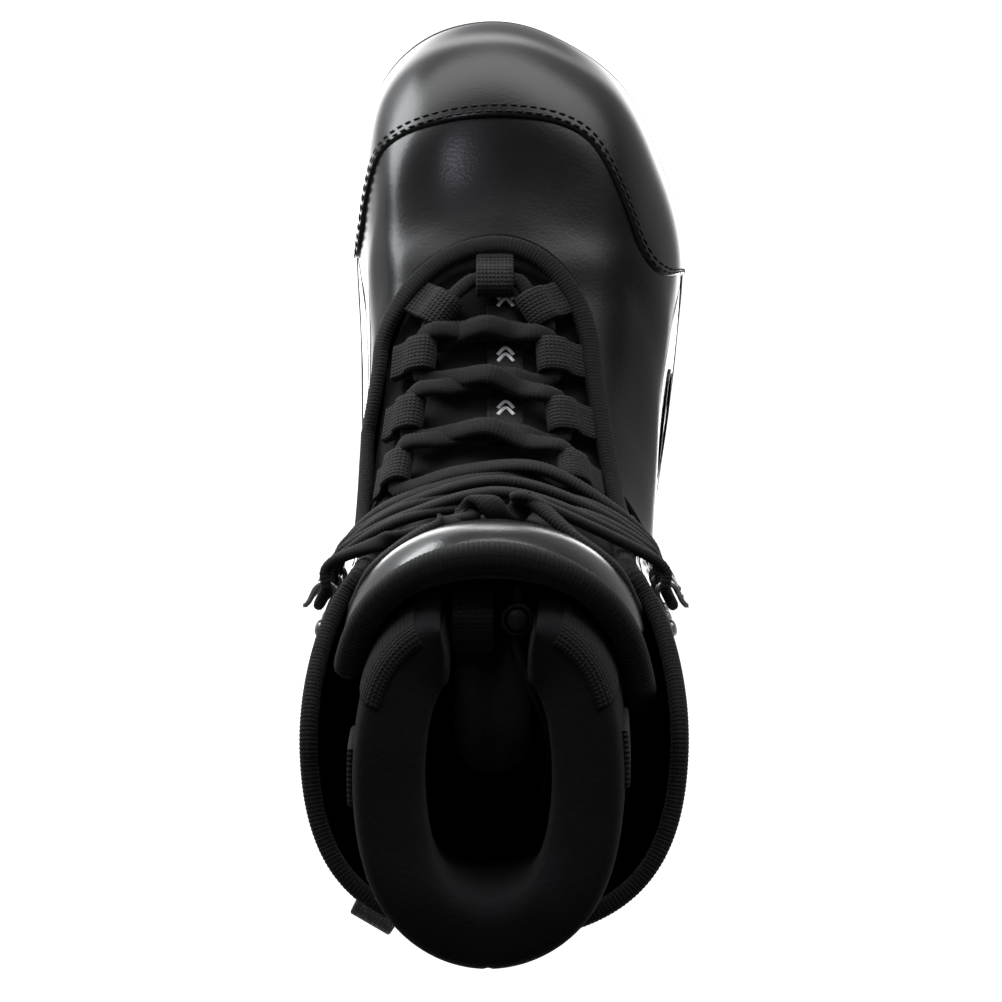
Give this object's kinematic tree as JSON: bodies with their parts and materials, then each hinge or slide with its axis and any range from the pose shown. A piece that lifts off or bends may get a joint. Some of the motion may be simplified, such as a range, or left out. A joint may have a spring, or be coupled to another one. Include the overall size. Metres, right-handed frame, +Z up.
{
  "type": "snowboard boot",
  "caption": "Right-foot laced snowboard boot in black synthetic leather, with a removable padded liner, nine webbing lace loops, six metal speed hooks and a cupped rubber sole.",
  "frame": {"origin": "middle of the flat of the outsole, on the ground under the foot", "axes": "+Y towards the toe, +X towards the outer (lateral) side of the right foot, +Z up"},
  "size_m": [0.1248, 0.306, 0.2932],
  "materials": {
    "leather": "gloss",
    "rubber": "matte",
    "board": "matte",
    "plastic": "satin",
    "lining": "matte",
    "binding": "matte",
    "tongue_cloth": "matte",
    "label": "matte",
    "webbing": "matte",
    "cord": "matte",
    "steel": "brushed",
    "foam": "matte"
  },
  "bodies": {
    "lower": {"outsole": "rubber", "midsole": "rubber", "lasting_board": "board", "toe_cap": "leather", "vamp": "leather", "quarter_lateral": "leather", "quarter_medial": "leather", "heel_cap": "leather", "toe_puff": "plastic", "heel_counter": "plastic", "ankle_lining": "lining", "throat_binding": "binding", "tongue_lower": "tongue_cloth", "tongue_label": "label", "liner_foot": "lining", "footbed": "foam", "lace_loop_centre": "webbing", "lace_loop_medial_1": "webbing", "lace_loop_medial_2": "webbing", "lace_loop_medial_3": "webbing", "lace_loop_medial_4": "webbing", "lace_loop_lateral_1": "webbing", "lace_loop_lateral_2": "webbing", "lace_loop_lateral_3": "webbing", "lace_loop_lateral_4": "webbing", "lace": "cord"},
    "cuff": {"cuff_lateral": "leather", "cuff_medial": "leather", "backstay": "leather", "cuff_binding": "binding", "lace_hook_medial_1": "steel", "lace_hook_medial_2": "steel", "lace_hook_medial_3": "steel", "lace_hook_lateral_1": "steel", "lace_hook_lateral_2": "steel", "lace_hook_lateral_3": "steel", "hook_rivet_medial_1": "steel", "hook_rivet_medial_2": "steel", "hook_rivet_medial_3": "steel", "hook_rivet_lateral_1": "steel", "hook_rivet_lateral_2": "steel", "hook_rivet_lateral_3": "steel", "tongue_upper": "tongue_cloth", "tongue_shield": "leather", "tongue_binding": "binding", "liner_shaft": "lining", "liner_tab_medial": "webbing", "liner_tab_lateral": "webbing", "liner_cord": "cord", "lace_tip_medial": "plastic", "lace_tip_lateral": "plastic"},
    "liner_tongue": {"liner_tongue": "lining", "liner_tongue_strap": "webbing"},
    "cord_lock": {"cord_lock_barrel": "plastic", "cord_lock_spring": "steel"},
    "cord_lock_button": {"cord_lock_button": "plastic"},
    "heel_pull_loop": {"heel_pull_loop": "webbing"}
  },
  "joints": [
    {"name": "cuff_flex", "type": "hinge", "parent": "lower", "child": "cuff", "pos_m": [0, -0.075, 0.112], "axis": [-1, 0, 0], "range_deg": [-3, 8], "stiffness_Nm_per_rad": 30, "deforming": ["lace", "ankle_lining"]},
    {"name": "liner_tongue_tilt", "type": "hinge", "parent": "cuff", "child": "liner_tongue", "pos_m": [0, -0.036, 0.19], "axis": [1, 0, 0], "range_deg": [0, 6], "stiffness_Nm_per_rad": 2},
    {"name": "cord_lock_slide", "type": "slide", "parent": "cuff", "child": "cord_lock", "axis": [0, 1, 0], "range_m": [-0.002, 0.004]},
    {"name": "cord_lock_press", "type": "slide", "parent": "cord_lock", "child": "cord_lock_button", "axis": [0, 0, -1], "range_m": [0, 0.002], "stiffness_N_per_m": 300, "deforming": ["cord_lock_spring"]},
    {"name": "heel_pull_loop_swing", "type": "hinge", "parent": "cuff", "child": "heel_pull_loop", "pos_m": [-0.03517, -0.13676, 0.23284], "axis": [-0.8647, 0.5022, 0], "range_deg": [0, 70]}
  ]
}
